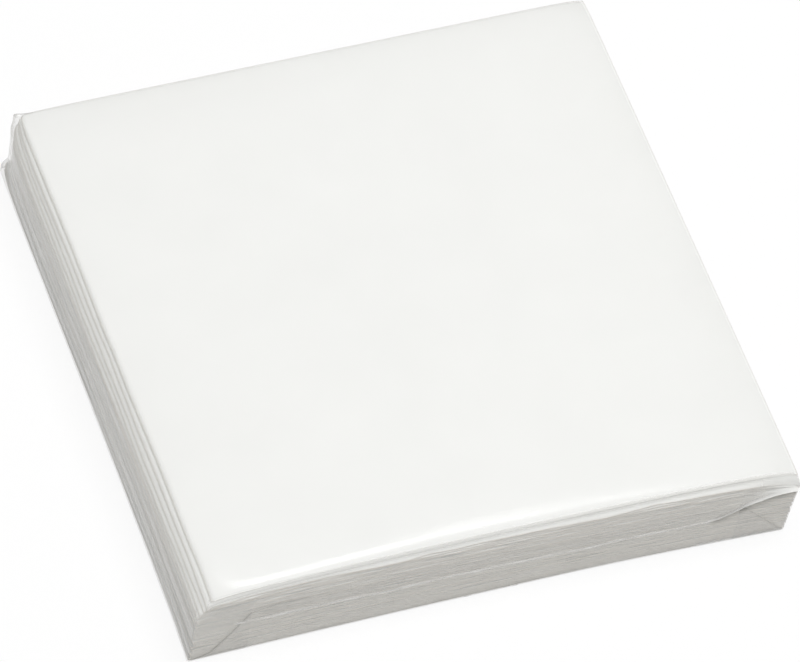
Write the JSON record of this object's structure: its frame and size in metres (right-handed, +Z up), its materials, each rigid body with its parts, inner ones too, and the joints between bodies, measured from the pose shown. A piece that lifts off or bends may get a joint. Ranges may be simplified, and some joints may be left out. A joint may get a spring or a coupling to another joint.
{
  "type": "pack of paper napkins",
  "caption": "Square pack of white quarter-folded paper napkins, stacked flat and sealed in a clear film overwrap with parcel-folded ends.",
  "frame": {"origin": "middle of the underside of the pack, on the surface it lies on", "axes": "+X to the right along the front end, +Y from the front end to the back end, +Z up through the stack"},
  "size_m": [0.167, 0.167, 0.025],
  "materials": {
    "napkin_tissue": "matte white tissue",
    "clear_film": "clear glossy film"
  },
  "bodies": {
    "root": {"film_wrap": "clear_film", "napkin_01": "napkin_tissue", "napkin_02": "napkin_tissue", "napkin_03": "napkin_tissue", "napkin_04": "napkin_tissue", "napkin_05": "napkin_tissue", "napkin_06": "napkin_tissue", "napkin_07": "napkin_tissue", "napkin_08": "napkin_tissue", "napkin_09": "napkin_tissue", "napkin_10": "napkin_tissue", "napkin_11": "napkin_tissue", "napkin_12": "napkin_tissue", "napkin_13": "napkin_tissue", "napkin_14": "napkin_tissue", "napkin_15": "napkin_tissue", "napkin_16": "napkin_tissue", "napkin_17": "napkin_tissue", "napkin_18": "napkin_tissue", "napkin_19": "napkin_tissue", "napkin_20": "napkin_tissue"}
  },
  "joints": []
}
